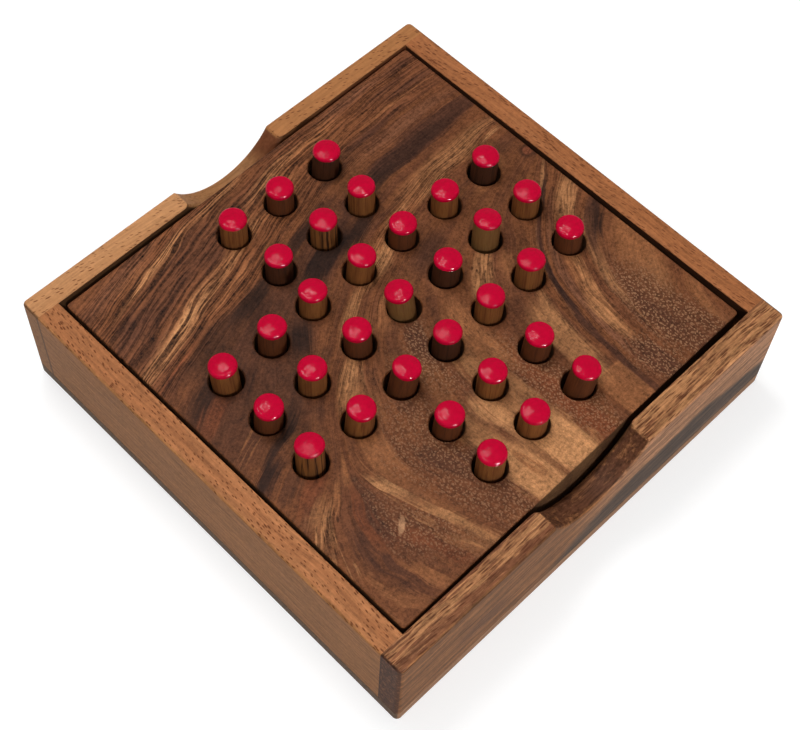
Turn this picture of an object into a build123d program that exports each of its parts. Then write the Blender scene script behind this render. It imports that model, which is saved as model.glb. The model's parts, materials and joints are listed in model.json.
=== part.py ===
# Peg solitaire board: a shallow hardwood tray of four rails on a thin base,
# with a loose board that rests on two ledges and holds thirty-three pegs.
#
# Millimetres. The origin is the middle of the underside and +Z is up.
# +X runs along the two rails that have thumb scoops, +Y from the front
# scooped rail to the back one.
import math
import os

from build123d import *

# Driving dimensions of the tray
LENGTH = 150.0
WIDTH = 148.0
HEIGHT = 35.0
BASE_THICKNESS = 4.0
CORNER_RADIUS = 1.5
EDGE_RADIUS = 0.8
INNER_EDGE_RADIUS = 0.3
SEAM_CHAMFER = 0.25

# Corners of the opening between the rails. The rails are cut by hand, 6 mm to
# 8 mm thick, so the opening is a little out of square.
OPENING_FRONT_LEFT = (-67.3, -66.85)
OPENING_FRONT_RIGHT = (68.25, -66.35)
OPENING_BACK_RIGHT = (67.4, 68.1)
OPENING_BACK_LEFT = (-67.7, 66.9)

# Thumb scoops, cut by one drum: place of the middle along X, and depth
SCOOP_RADIUS = 22.0
FRONT_SCOOP = (-0.5, 10.0)
BACK_SCOOP = (-2.5, 9.0)
SCOOP_INNER_RADIUS = 1.5

# Ledges that carry the loose board
LEDGE_THICKNESS = 6.0

# Loose board, also a little out of square: its corners where it lies in the tray
BOARD_FRONT_LEFT = (-66.0, -66.0)
BOARD_FRONT_RIGHT = (66.9, -64.2)
BOARD_BACK_RIGHT = (67.0, 67.6)
BOARD_BACK_LEFT = (-66.4, 65.5)
BOARD_THICKNESS = 15.0
BOARD_RECESS = 1.0
BOARD_CORNER_RADIUS = 1.0
BOARD_EDGE_RADIUS = 0.5

# Peg holes: a cross of three by seven, drilled by hand on a marked grid
HOLE_PITCH = 16.8
HOLE_DIAMETER = 10.0
HOLE_DEPTH = 12.0
HOLE_RIM_CHAMFER = 0.3
GRID_CENTRE = (0.0, 1.0)
GRID_REACH = 3
ARM_REACH = 1

# Pegs: a dowel with a painted head
PEG_DIAMETER = 8.0
PEG_LENGTH = 20.8
PEG_FOOT_CHAMFER = 0.5
PEG_FLOOR_CLEARANCE = 0.05
HEAD_DIAMETER = 8.3
HEAD_HEIGHT = 1.7
HEAD_LIP = 0.15
HEAD_SHOULDER = 1.1
HEAD_CROWN = 0.25

# How far a hole was drilled off the grid, in mm along X and Y, by column and row
HOLE_DRIFT = {
    (-3, -1): (-0.5, -0.5),
    (-3, 1): (0.0, -0.5),
    (-2, -1): (0.0, -0.5),
    (-2, 0): (-0.5, 0.0),
    (-1, -3): (-1.0, 0.0),
    (-1, -2): (-0.5, -0.5),
    (-1, -1): (-0.5, 0.0),
    (-1, 1): (-0.5, 1.0),
    (-1, 2): (0.5, -1.0),
    (-1, 3): (-0.5, 0.0),
    (0, -3): (-0.5, 1.0),
    (0, 0): (0.5, 0.0),
    (0, 1): (0.0, 0.5),
    (0, 2): (1.0, -1.0),
    (0, 3): (0.0, -0.5),
    (1, -3): (0.5, 0.5),
    (1, -2): (0.5, -0.5),
    (1, 1): (0.0, 0.5),
    (1, 3): (1.0, 0.0),
    (2, -1): (-0.5, 0.0),
    (2, 0): (0.0, 0.5),
    (3, -1): (0.0, 0.5),
    (3, 0): (0.0, 0.5),
    (3, 1): (0.0, 0.5),
}

# How far a peg's head leans off the middle of its hole, in mm along X and Y
HEAD_LEAN = {
    (-3, -1): (0.5, 1.0),
    (-3, 0): (0.0, -1.0),
    (-3, 1): (-0.5, 0.5),
    (-2, -1): (0.5, -0.5),
    (-2, 1): (0.5, 0.0),
    (-1, -2): (-0.5, -1.0),
    (-1, -1): (1.5, -0.5),
    (-1, 0): (-0.5, 0.5),
    (0, -3): (-0.5, -0.5),
    (0, 0): (-1.2, 1.5),
    (0, 1): (0.5, -0.5),
    (0, 2): (0.0, 0.5),
    (0, 3): (-0.5, -0.5),
    (1, -3): (1.5, -0.5),
    (1, -2): (0.0, -0.5),
    (1, 0): (0.0, -0.5),
    (1, 1): (-0.5, -0.5),
    (1, 2): (0.0, 0.5),
    (1, 3): (0.5, -0.5),
    (2, -1): (0.5, 0.5),
    (2, 0): (1.0, 1.0),
    (2, 1): (-0.5, 0.0),
    (3, -1): (-1.0, 0.0),
    (3, 0): (-0.5, 0.0),
}

# Levels and outlines that follow from the driving dimensions
OPENING = (OPENING_FRONT_LEFT, OPENING_FRONT_RIGHT, OPENING_BACK_RIGHT, OPENING_BACK_LEFT)
BOARD_OUTLINE = (BOARD_FRONT_LEFT, BOARD_FRONT_RIGHT, BOARD_BACK_RIGHT, BOARD_BACK_LEFT)
BOARD_TOP = HEIGHT - BOARD_RECESS
BOARD_FLOOR = BOARD_TOP - BOARD_THICKNESS
HOLE_FLOOR = BOARD_TOP - HOLE_DEPTH
CUT_MARGIN = 1.0
RAIL_REACH = 10.0

BOTTOM_ALIGNED = (Align.CENTER, Align.CENTER, Align.MIN)


def prism(corners, height):
    """A block that stands on the ground, with these corners in plan."""
    return extrude(Polygon(*corners, align=None), height, dir=(0, 0, 1))


def beyond(start, end, outward):
    """A block that holds all that lies outward of the line through two points."""
    start, end = Vector(*start), Vector(*end)
    run = end - start
    shift = Vector(*outward) * LENGTH
    corners = (start - run, end + run, end + run + shift, start - run + shift)
    return prism([(corner.X, corner.Y) for corner in corners], 2 * HEIGHT)


def base_sheet():
    """The thin sheet glued under the rails, flush with their outer faces."""
    sheet = Box(LENGTH, WIDTH, BASE_THICKNESS, align=BOTTOM_ALIGNED)
    sheet = fillet(sheet.edges().filter_by(Axis.Z), CORNER_RADIUS)
    seam = sheet.edges().group_by(Axis.Z)[-1]
    return chamfer(seam, SEAM_CHAMFER)


def scoop_cutter(side, scoop):
    """The drum that cuts one thumb scoop; side is -1 for the front rail, +1 for the back."""
    middle, depth = scoop
    axis_height = HEIGHT - depth + SCOOP_RADIUS
    drum = Rot(90, 0, 0) * Cylinder(SCOOP_RADIUS, RAIL_REACH)
    return Pos(middle, side * (WIDTH / 2 + CUT_MARGIN - RAIL_REACH / 2), axis_height) * drum


def set_in(edge):
    """How far the middle of an edge lies inside the tray's outer faces."""
    middle = edge @ 0.5
    return min(LENGTH / 2 - abs(middle.X), WIDTH / 2 - abs(middle.Y))


def upper_edges(ring):
    """The edges of the rails' tops and of the scoops."""
    below_scoops = HEIGHT - max(FRONT_SCOOP[1], BACK_SCOOP[1]) - CUT_MARGIN
    return [edge for edge in ring.edges() if edge.bounding_box().min.Z > below_scoops]


def eased(ring):
    """The ring with round outer edges, crisp inner ones, and scoops sanded on the inside."""
    inner_arcs = [edge for edge in upper_edges(ring)
                  if set_in(edge) > RAIL_REACH / 2 and (edge @ 0.5).Z < HEIGHT - CUT_MARGIN]
    ring = fillet(inner_arcs, SCOOP_INNER_RADIUS)
    crisp = [edge for edge in upper_edges(ring)
             if set_in(edge) > 2 * CUT_MARGIN and (edge @ 0.5).Z > HEIGHT - 0.001]
    ring = fillet(crisp, INNER_EDGE_RADIUS)
    outer = [edge for edge in upper_edges(ring) if set_in(edge) < CUT_MARGIN]
    return fillet(outer, EDGE_RADIUS)


def rail_ring():
    """All four rails as one ring, with the scoops cut and the edges eased."""
    outside = Box(LENGTH, WIDTH, HEIGHT, align=BOTTOM_ALIGNED)
    outside = fillet(outside.edges().filter_by(Axis.Z), CORNER_RADIUS)
    under = Box(LENGTH, WIDTH, BASE_THICKNESS, align=BOTTOM_ALIGNED)
    ring = outside - prism(OPENING, HEIGHT) - under
    ring = ring - scoop_cutter(-1, FRONT_SCOOP) - scoop_cutter(1, BACK_SCOOP)
    outer_seam = [
        edge for edge in ring.edges().group_by(Axis.Z)[0]
        if abs(edge.center().X) > LENGTH / 2 - CORNER_RADIUS
        or abs(edge.center().Y) > WIDTH / 2 - CORNER_RADIUS
    ]
    return eased(chamfer(outer_seam, SEAM_CHAMFER))


def rails():
    """The four rails: the scooped ones run the full length, the plain ones butt between them."""
    ring = rail_ring()
    front = beyond(OPENING_FRONT_LEFT, OPENING_FRONT_RIGHT, (0, -1))
    back = beyond(OPENING_BACK_LEFT, OPENING_BACK_RIGHT, (0, 1))
    sides = ring - front - back
    half = LENGTH / 2
    return {
        "front_rail": ring & front,
        "back_rail": ring & back,
        "left_rail": sides & Pos(-half, 0, 0) * Box(LENGTH, 2 * WIDTH, 2 * HEIGHT),
        "right_rail": sides & Pos(half, 0, 0) * Box(LENGTH, 2 * WIDTH, 2 * HEIGHT),
    }


def ledge(front, back, side):
    """A batten on the base against a plain rail; side is -1 for the left, +1 for the right."""
    start = (front[0] - side * LEDGE_THICKNESS, front[1])
    end = (back[0] - side * LEDGE_THICKNESS, back[1])
    batten = prism(OPENING, BOARD_FLOOR - BASE_THICKNESS) & beyond(start, end, (side, 0))
    return Pos(0, 0, BASE_THICKNESS) * batten


def hole_cells():
    """The column and row of each hole, row by row from the back left."""
    reach = range(-GRID_REACH, GRID_REACH + 1)
    return [(column, row) for row in reversed(reach) for column in reach
            if min(abs(column), abs(row)) <= ARM_REACH]


def hole_middle(cell):
    """Where a hole's axis meets the board's top."""
    drift = HOLE_DRIFT.get(cell, (0.0, 0.0))
    x = GRID_CENTRE[0] + cell[0] * HOLE_PITCH + drift[0]
    y = GRID_CENTRE[1] + cell[1] * HOLE_PITCH + drift[1]
    return x, y


def loose_board():
    """The drilled board where it lies in the tray."""
    blank = prism(BOARD_OUTLINE, BOARD_THICKNESS)
    blank = fillet(blank.edges().filter_by(Axis.Z), BOARD_CORNER_RADIUS)
    layers = blank.edges().group_by(Axis.Z)
    blank = fillet(layers[0] + layers[-1], BOARD_EDGE_RADIUS)
    board = Pos(0, 0, BOARD_FLOOR) * blank
    rim_radius = HOLE_DIAMETER / 2 + HOLE_RIM_CHAMFER
    drill = Pos(0, 0, HOLE_FLOOR) * Cylinder(HOLE_DIAMETER / 2, HOLE_DEPTH, align=BOTTOM_ALIGNED)
    rim = Pos(0, 0, BOARD_TOP - HOLE_RIM_CHAMFER) * Cone(
        HOLE_DIAMETER / 2, rim_radius, HOLE_RIM_CHAMFER, align=BOTTOM_ALIGNED)
    bit = drill + rim
    bits = [Pos(*hole_middle(cell), 0) * bit for cell in hole_cells()]
    return board - bits


def peg_line(cell):
    """A peg's direction, and the middle of its foot, with its head leaning in the hole."""
    x, y = hole_middle(cell)
    lean_x, lean_y = HEAD_LEAN.get(cell, (0.0, 0.0))
    pivot_height = HOLE_FLOOR + HOLE_DEPTH / 2
    rise = HOLE_FLOOR + PEG_LENGTH - pivot_height
    direction = Vector(lean_x, lean_y, rise).normalized()
    tilt = math.acos(direction.Z)
    foot_radius = PEG_DIAMETER / 2 - PEG_FOOT_CHAMFER
    foot_height = HOLE_FLOOR + PEG_FLOOR_CLEARANCE + foot_radius * math.sin(tilt)
    reach = (foot_height - pivot_height) / direction.Z
    foot = Vector(x, y, pivot_height) + direction * reach
    return direction, foot


def upright_peg():
    """A peg standing on the origin: dowel, painted lip, round shoulder and low crown."""
    radius = PEG_DIAMETER / 2
    head_radius = HEAD_DIAMETER / 2
    head_start = PEG_LENGTH - HEAD_HEIGHT
    shoulder_end = PEG_LENGTH - HEAD_CROWN
    crown_radius = head_radius - HEAD_SHOULDER
    outline = Polyline(
        (0, 0),
        (radius - PEG_FOOT_CHAMFER, 0),
        (radius, PEG_FOOT_CHAMFER),
        (radius, head_start),
        (head_radius, head_start + HEAD_LIP),
        (head_radius, shoulder_end - HEAD_SHOULDER))
    outline += RadiusArc(
        (head_radius, shoulder_end - HEAD_SHOULDER),
        (crown_radius, shoulder_end),
        -HEAD_SHOULDER)
    outline += Polyline((crown_radius, shoulder_end), (0, PEG_LENGTH), (0, 0))
    return revolve(make_face(Plane.XZ * outline), Axis.Z)


def placed_peg(cell):
    """The peg of one hole, standing where it leans."""
    direction, foot = peg_line(cell)
    return Plane(origin=foot, z_dir=direction) * upright_peg()


def build_nodes():
    """Every piece by the name of its node."""
    nodes = {
        "base_sheet": base_sheet(),
        **rails(),
        "left_ledge": ledge(OPENING_FRONT_LEFT, OPENING_BACK_LEFT, -1),
        "right_ledge": ledge(OPENING_FRONT_RIGHT, OPENING_BACK_RIGHT, 1),
        "loose_board": loose_board(),
    }
    for number, cell in enumerate(hole_cells(), start=1):
        nodes[f"peg_{number:02d}"] = placed_peg(cell)
    return nodes


NODES = build_nodes()
os.makedirs("parts", exist_ok=True)
for node_name, solid in NODES.items():
    export_step(solid, f"parts/{node_name}.step")
print(len(NODES), "nodes written")
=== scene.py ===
"""The looks of a peg solitaire board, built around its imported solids.

Metres, in the frame of the solids: the origin is the middle of the underside, +Z is
up, +X runs along the two scooped rails and +Y from the front scooped rail to the back.
Patterns in the wood are laid out in millimetres in that same frame.
"""

import json
import logging
import math
import random
from dataclasses import dataclass, field
from enum import Enum

import bpy
from mathutils import Matrix, Vector


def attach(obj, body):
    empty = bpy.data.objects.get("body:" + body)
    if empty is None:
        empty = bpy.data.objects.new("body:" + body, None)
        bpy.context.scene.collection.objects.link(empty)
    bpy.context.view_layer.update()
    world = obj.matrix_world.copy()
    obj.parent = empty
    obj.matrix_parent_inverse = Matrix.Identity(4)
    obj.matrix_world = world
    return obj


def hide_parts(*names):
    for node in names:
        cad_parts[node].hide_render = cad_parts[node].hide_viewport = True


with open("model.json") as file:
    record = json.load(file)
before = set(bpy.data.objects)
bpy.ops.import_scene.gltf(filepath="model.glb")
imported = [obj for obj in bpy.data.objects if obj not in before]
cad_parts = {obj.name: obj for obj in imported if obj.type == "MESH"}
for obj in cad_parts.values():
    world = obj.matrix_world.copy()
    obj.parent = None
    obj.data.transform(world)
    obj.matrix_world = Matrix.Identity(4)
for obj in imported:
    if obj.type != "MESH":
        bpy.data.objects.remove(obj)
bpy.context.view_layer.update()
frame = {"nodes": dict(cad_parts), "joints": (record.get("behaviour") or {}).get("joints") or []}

MM = 0.001
LOG = logging.getLogger("solitaire")
Socket = bpy.types.NodeSocket
Piece = bpy.types.Object
Material = bpy.types.Material
Pair = tuple[float, float]
Triple = tuple[float, float, float]


class Tone(Enum):
    """The colours of the woods and the paint, with a painted shade and a painted light among them,
    as screen values from 0 to 255.
    """

    BOARD_BROWN = (112, 67, 40)
    BOARD_UMBER = (101, 60, 38)
    BOARD_DARK = (78, 47, 33)
    BOARD_INK = (46, 29, 22)
    BOARD_RED = (112, 61, 37)
    BOARD_TAN = (140, 89, 55)
    BOARD_GOLD = (157, 107, 69)
    BOARD_PALE = (182, 128, 84)
    BOARD_ROSE = (116, 74, 52)
    BOARD_FLECK = (162, 118, 85)
    BOARD_PORE = (56, 31, 18)
    BOARD_SIDE = (84, 60, 41)
    BOARD_KNOT = (128, 72, 48)
    # Painted shade for the rails' inner faces along the gap round the loose board
    INSIDE = (40, 24, 16)
    HONEY = (190, 136, 91)
    HONEY_DEEP = (163, 108, 65)
    AMBER = (170, 112, 71)
    AMBER_DEEP = (150, 92, 55)
    # Painted light: the left rail's outer face, toned apart from its top for how light falls on
    # that side
    AMBER_SIDE = (164, 112, 70)
    RAIL_TAN = (158, 100, 62)
    BACK_END = (118, 84, 58)
    RAIL_PORE = (98, 52, 29)
    STRIPE_LIGHT = (174, 124, 82)
    STRIPE_MID = (152, 102, 66)
    STRIPE_PORE = (88, 48, 29)
    STRIPE_DARK = (104, 60, 40)
    FACE_PINK = (172, 122, 86)
    FACE_BROWN = (136, 90, 54)
    FACE_SMUDGE = (100, 68, 48)
    FACE_SLATE = (78, 62, 50)
    END_GRAIN = (70, 47, 37)
    SCOOP_DARK = (84, 52, 35)
    SCOOP_TAN = (160, 112, 72)
    SCOOP_LINE = (134, 88, 56)
    SCOOP_RED = (112, 66, 42)
    BASE_LIGHT = (172, 130, 99)
    BASE_GREY = (112, 90, 72)
    LEDGE_BROWN = (140, 98, 68)
    DOWEL_TAN = (134, 84, 44)
    DOWEL_OLIVE = (124, 88, 50)
    DOWEL_RED = (98, 54, 30)
    DOWEL_DARK = (74, 42, 26)
    DOWEL_LINE = (48, 29, 19)
    PAINT_RED = (191, 0, 47)
    PAINT_DEEP = (170, 0, 39)

    @property
    def linear(self) -> tuple[float, float, float, float]:
        """The tone as linear light with full opacity."""
        channels = [v / 255.0 for v in self.value]
        light = [c / 12.92 if c <= 0.04045 else ((c + 0.055) / 1.055) ** 2.4 for c in channels]
        return (*light, 1.0)


BROWN, UMBER, DARK = Tone.BOARD_BROWN, Tone.BOARD_UMBER, Tone.BOARD_DARK
INK, RED, ROSE = Tone.BOARD_INK, Tone.BOARD_RED, Tone.BOARD_ROSE
TAN, GOLD, PALE = Tone.BOARD_TAN, Tone.BOARD_GOLD, Tone.BOARD_PALE
Input = float | tuple[float, ...] | Tone | Socket


class Along(Enum):
    """The axis that a rail's grain follows."""

    X = "x"
    Y = "y"


class Graph:
    """The shading nodes of one material, laid down as its recipe is followed."""

    def __init__(self, name: str) -> None:
        """Makes an empty material.

        Args:
            name: The material's name.
        """
        self.material = bpy.data.materials.new(name)
        self.material.use_nodes = True
        self.tree = self.material.node_tree
        self.shader = self.tree.nodes["Principled BSDF"]

    def feed(self, socket: Socket, value: Input) -> None:
        """Links a socket to another, or sets its number, vector or colour.

        Args:
            socket: The socket that takes the value.
            value: A socket to link, a tone, or a constant.
        """
        if isinstance(value, Socket):
            self.tree.links.new(value, socket)
        elif isinstance(value, Tone):
            socket.default_value = value.linear if socket.type == "RGBA" else value.linear[:3]
        else:
            socket.default_value = value

    def node(self, kind: str, inputs: dict[int | str, Input], out: int = 0,
             **settings: object) -> Socket:
        """Adds a node.

        Args:
            kind: The node's type.
            inputs: Values by socket name or number.
            out: Which output to return.
            settings: Properties of the node.

        Returns:
            The chosen output.
        """
        made = self.tree.nodes.new(kind)
        for key, value in settings.items():
            setattr(made, key, value)
        for key, value in inputs.items():
            self.feed(made.inputs[key], value)
        return made.outputs[out]

    def math(self, operation: str, *values: Input) -> Socket:
        """Adds a Math node on one, two or three numbers."""
        return self.node("ShaderNodeMath", dict(enumerate(values)), operation=operation)

    def times(self, first: Input, second: Input) -> Socket:
        """Multiplies two numbers."""
        return self.math("MULTIPLY", first, second)

    def plus(self, first: Input, second: Input) -> Socket:
        """Adds two numbers."""
        return self.math("ADD", first, second)

    def minus(self, first: Input, second: Input) -> Socket:
        """Takes the second number from the first."""
        return self.math("SUBTRACT", first, second)

    def scaled(self, value: Input, factor: Input, added: Input) -> Socket:
        """Multiplies a number by a factor, and adds another to it."""
        return self.math("MULTIPLY_ADD", value, factor, added)

    def swung(self, light: Input, noise: Input, amount: float) -> Socket:
        """Adds noise to a number, as a swing of up to that amount both ways."""
        return self.scaled(self.scaled(noise, 2.0, -1.0), amount, light)

    def vector(self, operation: str, *values: Input, out: int = 0) -> Socket:
        """Adds a Vector Math node."""
        return self.node("ShaderNodeVectorMath", dict(enumerate(values)), out, operation=operation)

    def length(self, vector: Socket) -> Socket:
        """Measures a vector."""
        return self.vector("LENGTH", vector, out=1)

    def combine(self, x: Input, y: Input, z: Input) -> Socket:
        """Joins three numbers into a vector."""
        return self.node("ShaderNodeCombineXYZ", {0: x, 1: y, 2: z})

    def split(self, vector: Socket) -> tuple[Socket, Socket, Socket]:
        """Takes a vector apart into its three numbers."""
        made = self.tree.nodes.new("ShaderNodeSeparateXYZ")
        self.feed(made.inputs[0], vector)
        return made.outputs[0], made.outputs[1], made.outputs[2]

    def millimetres(self) -> Socket:
        """The place on the object, in millimetres."""
        place = self.node("ShaderNodeTexCoord", {}, 3)
        return self.vector("MULTIPLY", place, (1.0 / MM,) * 3)

    def noise(self, vector: Socket, stretch: float | tuple[float, ...], detail: float = 2.0,
              roughness: float = 0.5, offset: float = 0.0) -> Socket:
        """Adds soft noise from 0 to 1.

        Args:
            vector: The place in millimetres.
            stretch: Cycles per millimetre, one number for all directions or one for each.
            detail: How many finer layers it has.
            roughness: How strong those layers are.
            offset: Moves the pattern, to tell two of them apart.

        Returns:
            The noise.
        """
        cycles = (stretch,) * 3 if isinstance(stretch, float) else stretch
        scaled = self.vector("MULTIPLY_ADD", vector, cycles, (offset, offset * 0.7, offset * 1.3))
        return self.node("ShaderNodeTexNoise", {"Vector": scaled, "Scale": 1.0, "Detail": detail,
                                                "Roughness": roughness})

    def sway(self, vector: Socket, scale: float) -> Socket:
        """Adds noise that is a vector, to push a pattern about."""
        return self.node("ShaderNodeTexNoise", {"Vector": vector, "Scale": scale, "Detail": 1.0}, 1)

    def dashes(self, vector: Socket, length: float, width: float, size: Input,
               offset: float) -> Socket:
        """Scatters dashes along the first direction, each 1 at its middle and fading to 0.

        Args:
            vector: The place in millimetres.
            length: The length that a dash of size 0.25 has.
            width: Its width.
            size: How large the dashes are, which is also how much of the wood they cover.
            offset: Moves the pattern.

        Returns:
            The dashes.
        """
        stretch = (0.5 / length, 0.5 / width, 0.5 / width)
        cells = self.vector("MULTIPLY_ADD", vector, stretch, (offset,) * 3)
        near = self.node("ShaderNodeTexVoronoi", {"Vector": cells, "Scale": 1.0, "Randomness": 1.0})
        return self.span(near, self.times(size, 0.6), size, 1.0, 0.0)

    def span(self, value: Input, low: Input, high: Input, to_low: float = 0.0,
             to_high: float = 1.0, course: str = "LINEAR") -> Socket:
        """Maps a number evenly from one range to another and holds it at the ends."""
        return self.node("ShaderNodeMapRange", {0: value, 1: low, 2: high, 3: to_low, 4: to_high},
                         interpolation_type=course)

    def ramp(self, value: Input, low: float, high: float, to_low: float = 0.0,
             to_high: float = 1.0) -> Socket:
        """Maps a number from one range to another as span does, but easing in and out."""
        return self.span(value, low, high, to_low, to_high, "SMOOTHSTEP")

    def fade(self, value: Input, low: float, high: float, full: float = 1.0) -> Socket:
        """Eases from a full strength, up to the low number, down to 0 at the high one."""
        return self.ramp(value, low, high, full, 0.0)

    def mix(self, factor: Input, first: Input, second: Input) -> Socket:
        """Blends two colours: a factor of 0 gives the first, and 1 the second."""
        return self.node("ShaderNodeMix", {0: factor, 6: first, 7: second}, 2, data_type="RGBA")

    def shaded(self, colour: Input, amount: Socket) -> Socket:
        """Multiplies a colour's light by a number."""
        return self.node("ShaderNodeVectorMath", {0: colour, 3: amount}, operation="SCALE")

    def finish(self, colour: Input, roughness: Input, height: Socket, depth: float,
               sheen: float = 0.04) -> Material:
        """Connects the shader.

        Args:
            colour: The base colour.
            roughness: The surface's roughness.
            height: A relief from 0 to 1.
            depth: What 1 of that relief stands for, in metres.
            sheen: The shader's specular level, low for oiled wood.

        Returns:
            The material.
        """
        self.feed(self.shader.inputs["Base Color"], colour)
        self.feed(self.shader.inputs["Roughness"], roughness)
        self.feed(self.shader.inputs["Specular IOR Level"], sheen)
        relief = self.node("ShaderNodeBump", {"Height": height, "Distance": depth, "Strength": 1.0})
        self.feed(self.shader.inputs["Normal"], relief)
        return self.material


@dataclass(frozen=True)
class GrainLine:
    """One growth line across the board's top, as points in millimetres."""

    level: float
    points: tuple[Pair, ...]


@dataclass(frozen=True)
class Patch:
    """A patch of the board's top that follows the grain, sized in millimetres."""

    x: float
    y: float
    half_length: float
    half_width: float
    strength: float = 1.0
    core: float = 0.2


def patches(*rows: tuple) -> tuple[Patch, ...]:
    """Makes patches from rows of their values, in the class's own order."""
    return tuple(Patch(*row) for row in rows)


def toned(*rows: tuple) -> tuple[tuple[Tone, Patch], ...]:
    """Makes streaks from rows that name a tone and then a patch's values."""
    return tuple((tone, Patch(*values)) for tone, *values in rows)


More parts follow.
